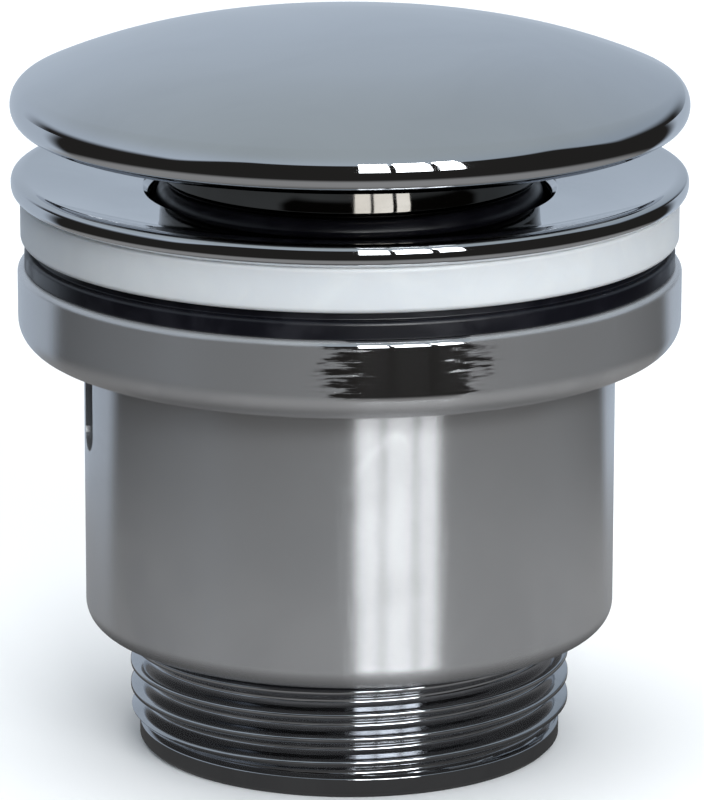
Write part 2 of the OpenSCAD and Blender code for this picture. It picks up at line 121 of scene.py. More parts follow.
def kept_normals(mesh, spots, normals):
    """Normal of each face corner: its spot's own, or else that of the round wall or of the cut."""
    tree = KDTree(len(spots))
    for i, spot in enumerate(spots):
        tree.insert(spot, i)
    tree.balance()
    corners = []
    for face in mesh.polygons:
        for v in face.vertices:
            here = mesh.vertices[v].co
            _, i, far = tree.find(here)
            out = Vector((here.x, here.y, 0)).normalized()
            outward = face.normal.dot(out)
            if far < SAME_SPOT:
                corners.append(normals[i])
            else:
                corners.append(out * outward if abs(outward) > 0.9 else face.normal)
    return corners


def turned(name, outline, finish, body, slot, *nodes, slots=None):
    """Piece turned about the axis from a closed outline, with the exact normals of that outline."""
    line = np.array([(p[0], p[1]) for p in outline]) * MM
    after = np.roll(line, -1, axis=0)
    if np.sum(line[:, 0] * after[:, 1] - after[:, 0] * line[:, 1]) < 0:
        line = line[::-1]
        after = np.roll(line, -1, axis=0)
    out = np.stack([after[:, 1] - line[:, 1], line[:, 0] - after[:, 0]], axis=1)
    lean = out + np.roll(out, 1, axis=0)
    lean /= np.linalg.norm(lean, axis=1, keepdims=True)
    bearings = [2 * math.pi * j / ROUND_STEPS for j in range(ROUND_STEPS)]
    verts, normals, rings = [], [], []
    for (r, z), (nr, nz) in zip(line, lean):
        if r < 1e-9:
            rings.append([len(verts)] * ROUND_STEPS)
            verts.append((0, 0, z))
            normals.append((0, 0, math.copysign(1, nz)))
            continue
        rings.append(list(range(len(verts), len(verts) + ROUND_STEPS)))
        verts.extend((r * math.cos(a), r * math.sin(a), z) for a in bearings)
        normals.extend((nr * math.cos(a), nr * math.sin(a), nz) for a in bearings)
    faces = []
    for low, high in zip(rings, rings[1:] + rings[:1]):
        if low[0] == low[1] and high[0] == high[1]:
            continue
        for j in range(ROUND_STEPS):
            k = (j + 1) % ROUND_STEPS
            faces.append(list(dict.fromkeys((low[j], low[k], high[k], high[j]))))
    mesh = bpy.data.meshes.new(name)
    mesh.from_pydata(verts, [], faces)
    mesh.shade_smooth()
    if slots:
        mesh = slotted(mesh, **slots)
        mesh.normals_split_custom_set(kept_normals(mesh, verts, normals))
    else:
        mesh.normals_split_custom_set_from_vertices(normals)
    return fitted(name, mesh, finish, body, slot, *nodes)


def fitted(name, mesh, finish, body, slot, *nodes):
    """Object of a mesh on its body, in place of the CAD nodes that it stands for."""
    made = bpy.data.objects.new(name, mesh)
    bpy.context.scene.collection.objects.link(made)
    if finish:
        mesh.materials.clear()
        mesh.materials.append(finish)
    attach(made, body)
    if nodes:
        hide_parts(*nodes)
    return made


def add(tree, kind, sockets=None, **settings):
    """Node of that kind; sockets maps an input's name or number to a value or an output."""
    made = tree.nodes.new(kind)
    for key, value in settings.items():
        setattr(made, key, value)
    for key, value in (sockets or {}).items():
        if isinstance(value, bpy.types.NodeSocket):
            tree.links.new(value, made.inputs[key])
        else:
            made.inputs[key].default_value = value
    return made


def calc(tree, operation, *values):
    """Output of a Math node on numbers and outputs."""
    return add(tree, "ShaderNodeMath", dict(enumerate(values)), operation=operation).outputs[0]


def length(tree, x, y):
    """Distance of a place from the axis."""
    squares = [calc(tree, "MULTIPLY", side, side) for side in (x, y)]
    return calc(tree, "SQRT", calc(tree, "ADD", *squares))


def spread(tree, value, low, high, to_low=0.0, to_high=1.0):
    """Output that goes smoothly from to_low to to_high while value goes from low to high."""
    sockets = {"Value": value, "From Min": low, "From Max": high, "To Min": to_low, "To Max": to_high}
    return add(tree, "ShaderNodeMapRange", sockets, interpolation_type="SMOOTHSTEP").outputs["Result"]


def noise(tree, place, scale, detail, **more):
    """Output of a Noise Texture at a place."""
    sockets = {"Vector": place, "Scale": scale, "Detail": detail, **more}
    return add(tree, "ShaderNodeTexNoise", sockets).outputs[0]


def effect(name, inputs, output):
    """Shader node group with one output: the group, its inputs, Object coordinates and its end."""
    group = bpy.data.node_groups.new(name, "ShaderNodeTree")
    for label in inputs:
        group.interface.new_socket(label, in_out="INPUT", socket_type="NodeSocketFloat")
    group.interface.new_socket(output, in_out="OUTPUT", socket_type="NodeSocketFloat")
    given = group.nodes.new("NodeGroupInput").outputs
    place = add(group, "ShaderNodeTexCoord").outputs["Object"]
    return group, given, place, group.nodes.new("NodeGroupOutput").inputs[0]


# Rings that the turning tool leaves round the axis, Fineness of them to the metre
RING_WANDER = 45
RING_BREAKS = 30
turning_rings, rings_in, place, rings_end = effect("turning_rings", ["Fineness"], "Height")
do = functools.partial(calc, turning_rings)
x, y, z = add(turning_rings, "ShaderNodeSeparateXYZ", {0: place}).outputs
across = do("MULTIPLY", length(turning_rings, x, y), rings_in["Fineness"])
along = do("MULTIPLY", z, rings_in["Fineness"])
grain = add(turning_rings, "ShaderNodeCombineXYZ", {
    0: do("ADD", across, do("MULTIPLY", x, RING_WANDER)),
    1: do("ADD", along, do("MULTIPLY", y, RING_WANDER)),
    2: do("MULTIPLY", do("SUBTRACT", x, y), RING_BREAKS),
}).outputs[0]
turning_rings.links.new(noise(turning_rings, grain, 1.0, 3.0, Roughness=0.6), rings_end)

# Soft cloudy film that wiping and handling leave on a bright face
wipe_film, film_in, place, film_end = effect("wipe_film", ["Size"], "Film")
cloud = noise(wipe_film, place, film_in["Size"], 5.0, Roughness=0.55, Distortion=0.8)
wipe_film.links.new(spread(wipe_film, cloud, 0.36, 0.70), film_end)

# Hairline scratches in two directions, Count of them to the metre
HAIR_LEVEL = 0.66
HAIR_WIDTH = 0.012
hairlines, hair_in, place, hair_end = effect("hairlines", ["Count"], "Scratch")
do = functools.partial(calc, hairlines)
marks = []
for turn, stretch in ((0.5, (1.0, 0.03, 0.05)), (2.0, (0.04, 1.0, 0.06))):
    slant = {"Vector": place, "Rotation": (turn, turn * 0.7, turn * 1.3), "Scale": stretch}
    laid = add(hairlines, "ShaderNodeMapping", slant).outputs[0]
    line = noise(hairlines, laid, hair_in["Count"], 1.0)
    marks.append(spread(hairlines, do("ABSOLUTE", do("SUBTRACT", line, HAIR_LEVEL)), HAIR_WIDTH, 0.0))
hairlines.links.new(do("MAXIMUM", *marks), hair_end)


def tint(tree, mask, low, high):
    """Colour that goes from low to high with the mask; each is a colour or an output."""
    ends = [end if isinstance(end, bpy.types.NodeSocket) else (*end, 1) for end in (low, high)]
    return add(tree, "ShaderNodeMix", {0: mask, 6: ends[0], 7: ends[1]}, data_type="RGBA").outputs[2]


def blank(name):
    """New material, its node tree and the inputs of its Principled shader."""
    made = bpy.data.materials.new(name)
    made.use_nodes = True
    return made, made.node_tree, shader_inputs(made)


def shader_inputs(material):
    """Inputs of a material's Principled shader."""
    return material.node_tree.nodes["Principled BSDF"].inputs


def group_output(tree, group, values):
    """Output of a group placed in a material with its own values."""
    made = tree.nodes.new("ShaderNodeGroup")
    made.node_tree = group
    for key, value in values.items():
        made.inputs[key].default_value = value
    return made.outputs[0]


def plated(name, dull, fineness, ring_depth, film_size, dark, light):
    """Metal finish: roughness between the two dull values, rings of that depth in millimetres."""
    made, tree, shader = blank(name)
    film = group_output(tree, wipe_film, {"Size": film_size})
    scratch = group_output(tree, hairlines, {"Count": 900.0})
    rings = group_output(tree, turning_rings, {"Fineness": fineness})
    tree.links.new(tint(tree, film, light, dark), shader["Base Color"])
    shader["Metallic"].default_value = 1.0
    worn = calc(tree, "MAXIMUM", film, calc(tree, "MULTIPLY", scratch, 0.8))
    tree.links.new(spread(tree, worn, 0.0, 1.0, *dull), shader["Roughness"])
    height = calc(tree, "SUBTRACT", rings, calc(tree, "MULTIPLY", scratch, 0.35))
    bump = add(tree, "ShaderNodeBump", {"Strength": 1.0, "Distance": ring_depth * MM, "Height": height})
    tree.links.new(bump.outputs[0], shader["Normal"])
    return made


# Patch at the front of the collar that handling has rubbed bright, ragged along the rings
PATCH_BEARING = 0.165
PATCH_FOOT = (0.0416, 0.0421)
rubbed_patch, _, place, patch_end = effect("rubbed_patch", [], "Rubbed")
do = functools.partial(calc, rubbed_patch)
x, y, z = add(rubbed_patch, "ShaderNodeSeparateXYZ", {0: place}).outputs
bearing = do("ARCTAN2", x, do("MULTIPLY", y, -1))
across, along = do("MULTIPLY", bearing, 9), do("MULTIPLY", z, 2600)
laid = add(rubbed_patch, "ShaderNodeCombineXYZ", {0: across, 1: along}).outputs[0]
streak = noise(rubbed_patch, laid, 1.0, 3.0, Roughness=0.6)
off = do("ABSOLUTE", do("SUBTRACT", bearing, PATCH_BEARING))
wide = spread(rubbed_patch, do("ADD", off, do("MULTIPLY", streak, 0.5)), 0.50, 0.40)
tall = spread(rubbed_patch, do("ADD", z, do("MULTIPLY", streak, 0.0012)), *PATCH_FOOT)
rubbed_patch.links.new(do("MULTIPLY", wide, tall), patch_end)

# Share of the turned finish that mirrors; the rest is the pale bloom of its finest grooves
BLOOM_METAL = 0.80


def brushed(name, bright=None):
    """Plating over the turning rings, which spread what it mirrors up and down only."""
    made = plated(name, dull=(0.22, 0.26), fineness=9000.0, ring_depth=0.003, film_size=60.0,
                  dark=(0.63, 0.63, 0.64), light=(0.69, 0.69, 0.70))
    tree, shader = made.node_tree, shader_inputs(made)
    shader["Metallic"].default_value = BLOOM_METAL
    shader["Anisotropic"].default_value = 1.0
    shader["Anisotropic Rotation"].default_value = 0.25
    around = add(tree, "ShaderNodeTangent", direction_type="RADIAL", axis="Z").outputs[0]
    tree.links.new(around, shader["Tangent"])
    if bright is not None:
        rubbed = group_output(tree, rubbed_patch, {})
        rough, height = shader["Roughness"], shader["Normal"].links[0].from_node.inputs["Height"]
        eased = add(tree, "ShaderNodeMix", {0: rubbed, 2: rough.links[0].from_socket, 3: bright}).outputs[0]
        tree.links.new(eased, rough)
        tree.links.new(spread(tree, rubbed, 0.0, 1.0, BLOOM_METAL, 1.0), shader["Metallic"])
        left = calc(tree, "SUBTRACT", 1.0, rubbed)
        tree.links.new(calc(tree, "MULTIPLY", height.links[0].from_socket, left), height)
    return made


plated_inside = plated("plated_inside", dull=(0.28, 0.44), fineness=2600.0, ring_depth=0.006,
                       film_size=110.0, dark=(0.42, 0.40, 0.36), light=(0.56, 0.55, 0.52))
barrel_chrome = brushed("barrel_chrome")
collar_chrome = brushed("collar_chrome", bright=0.06)
thread_chrome = plated("thread_chrome", dull=(0.07, 0.13), fineness=3800.0, ring_depth=0.0008,
                       film_size=120.0, dark=(0.46, 0.47, 0.49), light=(0.54, 0.55, 0.57))

TAIL_BORE_R = 17.75
TAIL_CORE_R = 19.3
TAIL_END_R = 20.1
TAIL_TOP = 11.8
BARREL_R = 25.15
COLLAR_R = 31.3
COLLAR_LOW, COLLAR_TOP = 39.0, 46.7
SOCKET_R, SOCKET_LOW = 21.055, 16.505
SIDE_SLOTS = {
    "width": 3.8, "low": 29.6, "high": 38.4, "depths": (19.5, 27.0), "bearings": (12.4, 192.4),
}
lower_body = turned("lower_body_turned", rounded([
    (TAIL_BORE_R + 0.5, 0, 0.12), (19.6, 0, 0.15), (TAIL_END_R, 0.5, 0.2), (TAIL_END_R, 1.9, 0.15),
    (TAIL_CORE_R, 2.4, 0.1), (TAIL_CORE_R, TAIL_TOP, 0.1), (BARREL_R, TAIL_TOP, 2.2),
    (BARREL_R, COLLAR_LOW, 0.12), (COLLAR_R, COLLAR_LOW, 2.8), (COLLAR_R, COLLAR_TOP, 0.6),
    (SOCKET_R + 0.5, COLLAR_TOP, 0.1), (SOCKET_R, COLLAR_TOP - 0.5, 0.1), (SOCKET_R, SOCKET_LOW, 0.3),
    (TAIL_BORE_R, 13.2, 0.3), (TAIL_BORE_R, 0.5, 0.12),
]), plated_inside, "waste_body", "chrome", "lower_body", slots=SIDE_SLOTS)
for finish in (barrel_chrome, collar_chrome, thread_chrome):
    lower_body.data.materials.append(finish)
ON_BARREL, ON_COLLAR, ON_TAIL = 1, 2, 3
for face in lower_body.data.polygons:
    r, z = face.center.xy.length / MM, face.center.z / MM
    if r > BARREL_R + 0.05 and z > COLLAR_LOW - 0.05:
        face.material_index = ON_COLLAR
    elif r > SOCKET_R + 0.6 and z < COLLAR_LOW + 0.2:
        face.material_index = ON_BARREL
    elif r > TAIL_CORE_R - 0.05 and z < TAIL_TOP + 0.1:
        face.material_index = ON_TAIL


# Tail thread: the G1 1/4 pipe thread cut on the tail for the trap's union nut, plated
# with the rest of the body. A right-hand ridge with rounded crests and roots, whose
# start is chamfered where the nut comes on.
def shape_tree(name, inputs):
    """Geometry Nodes tree with inputs of the kinds given, and those inputs by name."""
    tree = bpy.data.node_groups.new(name, "GeometryNodeTree")
    for label, kind in inputs.items():
        tree.interface.new_socket(label, in_out="INPUT", socket_type="NodeSocket" + kind)
    tree.interface.new_socket("Mesh", in_out="OUTPUT", socket_type="NodeSocketGeometry")
    return tree, tree.nodes.new("NodeGroupInput").outputs


def end_tree(tree, shape, finish):
    """Ends a tree with a plain mesh that has its finish."""
    plain = add(tree, "GeometryNodeRealizeInstances", {0: shape}).outputs[0]
    coated = add(tree, "GeometryNodeSetMaterial", {"Geometry": plain, "Material": finish}).outputs[0]
    tree.links.new(coated, tree.nodes.new("NodeGroupOutput").inputs[0])


def grown(name, tree, values):
    """Plain mesh of a Geometry Nodes tree with its inputs set by name."""
    maker = bpy.data.objects.new(name, bpy.data.meshes.new(name + "_seed"))
    bpy.context.scene.collection.objects.link(maker)
    nodes = maker.modifiers.new(name, "NODES")
    nodes.node_group = tree
    for entry in tree.interface.items_tree:
        if entry.in_out == "INPUT":
            nodes[entry.identifier] = values[entry.name]
    bpy.context.view_layer.update()
    mesh = bpy.data.meshes.new_from_object(maker.evaluated_get(bpy.context.evaluated_depsgraph_get()))
    mesh.name = name
    bpy.data.objects.remove(maker)
    return mesh


thread_tree, size = shape_tree("pipe_thread", {
    "Crest Radius": "Float", "Root Radius": "Float", "Inner Radius": "Float", "Pitch": "Float",
    "Foot": "Float", "Length": "Float", "Lead In": "Float", "Columns": "Int", "Rows": "Int",
    "Finish": "Material",
})
do = functools.partial(calc, thread_tree)
grid = add(thread_tree, "GeometryNodeMeshGrid", {
    "Size X": 1.0, "Size Y": 1.0, "Vertices X": size["Columns"], "Vertices Y": size["Rows"],
}).outputs["Mesh"]
place = add(thread_tree, "GeometryNodeInputPosition").outputs[0]
u, v, _ = add(thread_tree, "ShaderNodeSeparateXYZ", {0: place}).outputs
u = do("ADD", u, 0.5)
last_row = do("SUBTRACT", size["Rows"], 1)
row = do("ROUND", do("MULTIPLY", do("ADD", v, 0.5), last_row))
# The first and the last row lie on the inner wall's foot, and the last but one on its top
share = do("DIVIDE", do("SUBTRACT", row, 1), do("SUBTRACT", size["Rows"], 4))
share = do("MINIMUM", do("MAXIMUM", share, 0.0), 1.0)
share = do("MULTIPLY", share, do("LESS_THAN", row, do("SUBTRACT", last_row, 0.5)))
rise = do("MULTIPLY", share, size["Length"])
below_top = do("LESS_THAN", row, do("SUBTRACT", last_row, 1.5))
outside = do("MULTIPLY", do("GREATER_THAN", row, 0.5), below_top)
turns = do("SUBTRACT", do("DIVIDE", rise, size["Pitch"]), u)
flank = do("ABSOLUTE", do("SUBTRACT", do("MULTIPLY", do("FRACT", turns), 2.0), 1.0))
ridge = spread(thread_tree, flank, 0.10, 0.90)
chamfer = {"Value": rise, "From Max": size["Lead In"]}
lead = add(thread_tree, "ShaderNodeMapRange", chamfer).outputs["Result"]
depth = do("SUBTRACT", size["Crest Radius"], size["Root Radius"])
thread_r = do("ADD", size["Root Radius"], do("MULTIPLY", depth, do("MINIMUM", ridge, lead)))
inner_r = do("MULTIPLY", size["Inner Radius"], do("SUBTRACT", 1.0, outside))
wall = do("ADD", do("MULTIPLY", thread_r, outside), inner_r)
bearing = do("MULTIPLY", u, 2 * math.pi)
spot = add(thread_tree, "ShaderNodeCombineXYZ", {
    0: do("MULTIPLY", wall, do("COSINE", bearing)), 1: do("MULTIPLY", wall, do("SINE", bearing)),
    2: do("ADD", size["Foot"], rise),
}).outputs[0]
wound = add(thread_tree, "GeometryNodeSetPosition", {"Geometry": grid, "Position": spot}).outputs[0]
joined = add(thread_tree, "GeometryNodeMergeByDistance", {"Geometry": wound, "Distance": 1e-6}).outputs[0]
end_tree(thread_tree, joined, size["Finish"])

SHARP = math.radians(60)
G_THREAD = {
    "Crest Radius": 20.955 * MM, "Root Radius": 19.476 * MM, "Pitch": 2.309 * MM, "Finish": thread_chrome,
}
tail_mesh = grown("tail_thread", thread_tree, {
    **G_THREAD, "Inner Radius": 19.25 * MM, "Foot": 1.9 * MM, "Length": 9.9 * MM, "Lead In": 1.5 * MM,
    "Columns": 289, "Rows": 116,
})
tail_mesh.shade_smooth()
tail_mesh.set_sharp_from_angle(angle=SHARP)
fitted("tail_thread", tail_mesh, None, "waste_body", "chrome")

# Lower seal: flat ring of black rubber that the collar presses up against the basin.
# It is moulded with a set-back band along its top edge.
mould_skin, skin_in, place, skin_end = effect("mould_skin", ["Grain"], "Height")
fine = calc(mould_skin, "MULTIPLY", noise(mould_skin, place, skin_in["Grain"], 4.0, Roughness=0.6), 0.4)
mould_skin.links.new(calc(mould_skin, "ADD", fine, noise(mould_skin, place, 140.0, 2.0)), skin_end)


def moulded(name, dark, light, dull, grain):
    """Rubber or plastic finish with the skin of its mould and a faint bloom."""
    made, tree, shader = blank(name)
    film = group_output(tree, wipe_film, {"Size": 160.0})
    skin = group_output(tree, mould_skin, {"Grain": grain})
    tree.links.new(tint(tree, film, dark, light), shader["Base Color"])
    tree.links.new(spread(tree, film, 0.0, 1.0, *dull), shader["Roughness"])
    bump = add(tree, "ShaderNodeBump", {"Strength": 1.0, "Distance": 0.02 * MM, "Height": skin})
    tree.links.new(bump.outputs[0], shader["Normal"])
    return made


black_rubber = moulded("black_rubber", dark=(0.004, 0.004, 0.007), light=(0.010, 0.010, 0.015),
                       dull=(0.30, 0.44), grain=2600.0)
SEAL_IN_R = 21.405
SEAL_JOIN_Z = 49.2
BAND_R, BAND_Z = 29.95, 48.4
turned("lower_seal_ring", rounded([
    (SEAL_IN_R, COLLAR_TOP, 0.15), (30.65, COLLAR_TOP, 0.15), (30.65, BAND_Z, 0.4), (BAND_R, BAND_Z, 0.12),
    (BAND_R, SEAL_JOIN_Z, 0.2), (SEAL_IN_R, SEAL_JOIN_Z, 0.15),
]), black_rubber, "waste_body", "black_rubber", "lower_seal")

# Upper seal: thick ring of white, slightly see-through plastic between the basin and
# the flange, moulded with softly rounded edges.
white_plastic = moulded("white_plastic", dark=(0.76, 0.79, 0.82), light=(0.80, 0.83, 0.85),
                        dull=(0.36, 0.44), grain=900.0)
shader = shader_inputs(white_plastic)
shader["Subsurface Weight"].default_value = 0.35
shader["Subsurface Radius"].default_value = (0.9, 1.0, 1.1)
shader["Subsurface Scale"].default_value = 0.002
UPPER_SEAL_R = 31.0
FLANGE_Z = 53.5
turned("upper_seal_ring", rounded([
    (SEAL_IN_R, SEAL_JOIN_Z, 0.3), (UPPER_SEAL_R, SEAL_JOIN_Z, 0.5), (UPPER_SEAL_R, FLANGE_Z, 0.5),
    (SEAL_IN_R, FLANGE_Z, 0.3),
]), white_plastic, "clamp_seal", "white_seal", "upper_seal")


# Flange: dished brass plate with a rounded edge that lies in the basin's outlet,
# polished and chrome plated. Its rim drops to the bore that the plug seal closes.
def sweep(cx, cz, r, first, last, steps):
    """Smooth points of an arc about (cx, cz), with angles in degrees."""
    turns = [math.radians(first + (last - first) * i / steps) for i in range(steps + 1)]
    return [(cx + r * math.cos(a), cz + r * math.sin(a), 0) for a in turns]


def rolled(r, z, first, arcs):
    """Points of arcs that follow on each other from (r, z), as (radius, end angle, steps)."""
    points = []
    for radius, last, steps in arcs:
        cx, cz = r - radius * math.cos(math.radians(first)), z - radius * math.sin(math.radians(first))
        points += sweep(cx, cz, radius, first + (last - first) / steps, last, steps - 1)
        r, z = points[-1][:2]
        first = last
    return points


flange_chrome = plated("flange_chrome", dull=(0.03, 0.07), fineness=6000.0, ring_depth=0.0004,
                       film_size=55.0, dark=(0.64, 0.65, 0.67), light=(0.70, 0.71, 0.73))
FLANGE_R = 31.85
NOSE_Z = 54.7
BORE_R = 19.0
NECK_R, NECK_LOW = 20.9, 52.9
RIM_R, RIM_Z = 19.5, 54.0
DISH_R = 24.0
DISH_LEAN = 5.5
CREST_R = 1.4
CREST_FROM = 62
nose_low = rolled(FLANGE_R, NOSE_Z, 0, [(2.4, -8, 4), (1.0, -90, 14)])
nose_high = rolled(FLANGE_R, NOSE_Z, 0, [(1.5, 18, 8), (0.5, CREST_FROM, 8)])
# The bowl of the dish leaves its shallow floor and runs into the crest without a crease
lean = math.radians(DISH_LEAN)
floor_z = RIM_Z + (DISH_R - RIM_R) * math.tan(lean)
crest_x = nose_high[-1][0] - CREST_R * math.cos(math.radians(CREST_FROM))
crest_z = nose_high[-1][1] - CREST_R * math.sin(math.radians(CREST_FROM))
away = Vector((crest_x - DISH_R, crest_z - floor_z))
gap = CREST_R - away.x * math.sin(lean) + away.y * math.cos(lean)
bowl_r = (away.length_squared - CREST_R ** 2) / (2 * gap)
bowl_x, bowl_z = DISH_R - bowl_r * math.sin(lean), floor_z + bowl_r * math.cos(lean)
bowl_a = math.degrees(math.atan2(crest_z - bowl_z, crest_x - bowl_x))
bowl = (sweep(crest_x, crest_z, CREST_R, CREST_FROM + 4, 180 + bowl_a, 14)
        + sweep(bowl_x, bowl_z, bowl_r, bowl_a - 0.5, DISH_LEAN - 90, 20))
turned("flange_plate", rounded(
    [(BORE_R, NECK_LOW, 0.1), (NECK_R, NECK_LOW, 0.1), (NECK_R, FLANGE_Z, 0.1)]
    + nose_low[::-1] + [(FLANGE_R, NOSE_Z, 0)] + nose_high + bowl
    + [(RIM_R, RIM_Z, 0.3), (BORE_R, FLANGE_Z, 0.2)]
), flange_chrome, "flange_unit", "chrome", "flange")

# Flange stem: threaded tube below the plate that screws into the lower body. Four round
# ended slots let water in from the basin's overflow.
STEM_SLOTS = {
    "width": 6.0, "low": 42.0, "high": 51.0, "depths": (17.0, 23.0), "bearings": (0, 90, 180, 270),
}
stem_mesh = slotted(grown("flange_stem", thread_tree, {
    **G_THREAD, "Inner Radius": BORE_R * MM, "Foot": 18.5 * MM, "Length": 34.6 * MM, "Lead In": 0.9 * MM,
    "Columns": 193, "Rows": 274,
}), **STEM_SLOTS)
stem_mesh.set_sharp_from_angle(angle=SHARP)
fitted("flange_stem", stem_mesh, thread_chrome, "flange_unit", "chrome")

# Spider: four arms at the foot of the stem that carry the hub for the latch. Cast in one
# with the stem, so only dull plating reaches them.
spider_tree, size = shape_tree("spider_arms", {
    "Arms": "Int", "Length": "Float", "Width": "Float", "Height": "Float", "Middle Radius": "Float",
    "Middle Height": "Float", "Finish": "Material",
})
sides = {0: size["Length"], 1: size["Width"], 2: size["Height"]}
block = add(spider_tree, "ShaderNodeCombineXYZ", sides).outputs[0]
arm = add(spider_tree, "GeometryNodeMeshCube", {"Size": block}).outputs["Mesh"]
middle = {0: size["Middle Radius"], 2: size["Middle Height"]}
shift = add(spider_tree, "ShaderNodeCombineXYZ", middle).outputs[0]
arm = add(spider_tree, "GeometryNodeTransform", {"Geometry": arm, "Translation": shift}).outputs[0]
seats = add(spider_tree, "GeometryNodePoints", {"Count": size["Arms"]}).outputs[0]
step = calc(spider_tree, "DIVIDE", 2 * math.pi, size["Arms"])
number = calc(spider_tree, "ADD", add(spider_tree, "GeometryNodeInputIndex").outputs[0], 0.5)
bearing = calc(spider_tree, "MULTIPLY", step, number)
swing = add(spider_tree, "ShaderNodeCombineXYZ", {2: bearing}).outputs[0]
placed = {"Points": seats, "Instance": arm, "Rotation": swing}
arms = add(spider_tree, "GeometryNodeInstanceOnPoints", placed).outputs[0]
end_tree(spider_tree, arms, size["Finish"])
arms_mesh = grown("spider_arms", spider_tree, {
    "Arms": 4, "Length": 8.9 * MM, "Width": 3.2 * MM, "Height": 5.0 * MM, "Middle Radius": 14.9 * MM,
    "Middle Height": 21.0 * MM, "Finish": plated_inside,
})
arms_shape = bmesh.new()
arms_shape.from_mesh(arms_mesh)
bmesh.ops.bevel(arms_shape, geom=arms_shape.edges[:], offset=0.35 * MM, segments=3,
                affect="EDGES", profile=0.5)
arms_shape.to_mesh(arms_mesh)
arms_shape.free()
arms_mesh.shade_smooth()
arms_mesh.set_sharp_from_angle(angle=math.radians(40))
fitted("spider_arms", arms_mesh, None, "flange_unit", "chrome")
HUB_IN_R, HUB_R = 8.05, 11.0
HUB_LOW, HUB_TOP = 18.5, 24.0
turned("spider_hub", rounded([
    (HUB_IN_R, HUB_LOW, 0.25), (HUB_R, HUB_LOW, 0.35), (HUB_R, HUB_TOP, 0.35), (HUB_IN_R, HUB_TOP, 0.25),
]), plated_inside, "flange_unit", "chrome")

# Latch cartridge: brass shell, gland bush and nut that screw to the hub over a steel
# washer. The two cam rings inside are moulded acetal, and a rubber ring wipes the plunger.
brass = plated("turned_brass", dull=(0.20, 0.34), fineness=2400.0, ring_depth=0.004, film_size=130.0,
               dark=(0.58, 0.40, 0.15), light=(0.76, 0.58, 0.28))
steel = plated("bright_steel", dull=(0.16, 0.30), fineness=3000.0, ring_depth=0.002, film_size=150.0,
               dark=(0.44, 0.44, 0.45), light=(0.58, 0.58, 0.59))
ivory_acetal = moulded("ivory_acetal", dark=(0.78, 0.75, 0.66), light=(0.86, 0.84, 0.78),
                       dull=(0.34, 0.48), grain=1800.0)


def coat(finish, *nodes):
    """Gives CAD nodes that keep their own shape a finish."""
    for name in nodes:
        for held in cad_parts[name].material_slots:
            held.material = finish


coat(brass, "cartridge_shell", "cartridge_nut", "gland_bush")
coat(steel, "lock_washer")
coat(ivory_acetal, "lower_cam_ring", "upper_cam_ring")
coat(black_rubber, "wiper_ring")

# Return spring: coil of bright steel wire that stands on the shell's floor and lifts the
# plunger.
spring_tree, size = shape_tree("coil_spring", {
    "Turns": "Float", "Coil Radius": "Float", "Wire Radius": "Float", "Foot": "Float", "Rise": "Float",
    "Steps": "Int", "Finish": "Material",
})
coil = add(spring_tree, "GeometryNodeCurveSpiral", {
    "Resolution": size["Steps"], "Rotations": size["Turns"], "Start Radius": size["Coil Radius"],
    "End Radius": size["Coil Radius"], "Height": size["Rise"],
}).outputs[0]
ring = {"Resolution": 14, "Radius": size["Wire Radius"]}
wire = add(spring_tree, "GeometryNodeCurvePrimitiveCircle", ring).outputs[0]
path = {"Curve": coil, "Profile Curve": wire, "Fill Caps": True}
swept = add(spring_tree, "GeometryNodeCurveToMesh", path).outputs[0]
foot = add(spring_tree, "ShaderNodeCombineXYZ", {2: size["Foot"]}).outputs[0]
stood = add(spring_tree, "GeometryNodeTransform", {"Geometry": swept, "Translation": foot}).outputs[0]
end_tree(spring_tree, stood, size["Finish"])
spring_mesh = grown("return_spring_coil", spring_tree, {
    "Turns": 7.0, "Coil Radius": 3.7 * MM, "Wire Radius": 0.45 * MM, "Foot": 15.46 * MM, "Rise": 9.08 * MM,
    "Steps": 48, "Finish": steel,
})
spring_mesh.shade_smooth()
spring_mesh.set_sharp_from_angle(angle=math.radians(50))
spring = bpy.data.objects.new("return_spring_coil", spring_mesh)
bpy.context.scene.collection.objects.link(spring)
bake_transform(spring)
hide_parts("return_spring")

# Plunger and latch rotor: brass rod under the cap with its spring seat, thrust washer and
# seal retainer, and the acetal rotor that turns on it and hooks into the cam ring.
orange_acetal = moulded("orange_acetal", dark=(0.52, 0.09, 0.025), light=(0.66, 0.15, 0.05),
                        dull=(0.32, 0.46), grain=1800.0)
coat(brass, "plunger", "spring_seat", "seal_retainer")
coat(steel, "thrust_washer")
coat(orange_acetal, "rotor")

# Plug seal: black rubber ring on the boss's spigot. Its lip closes the bore when the cap
# is down, and its shoulder is rounded off below the boss.
SPIGOT_R = 9.0
PLUG_LOW, BOSS_LOW = 50.5, 54.6
LIP_R, SHOULDER_R = 18.7, 18.2
turned("plug_seal_ring", rounded([
    (SPIGOT_R, PLUG_LOW, 0.15), (LIP_R, PLUG_LOW, 0.2), (LIP_R, 51.15, 0.2), (SHOULDER_R, 51.8, 0.3),
    (SHOULDER_R, BOSS_LOW, 1.3), (SPIGOT_R, BOSS_LOW, 0.15),
]), black_rubber, "cap_unit", "black_rubber", "plug_seal")
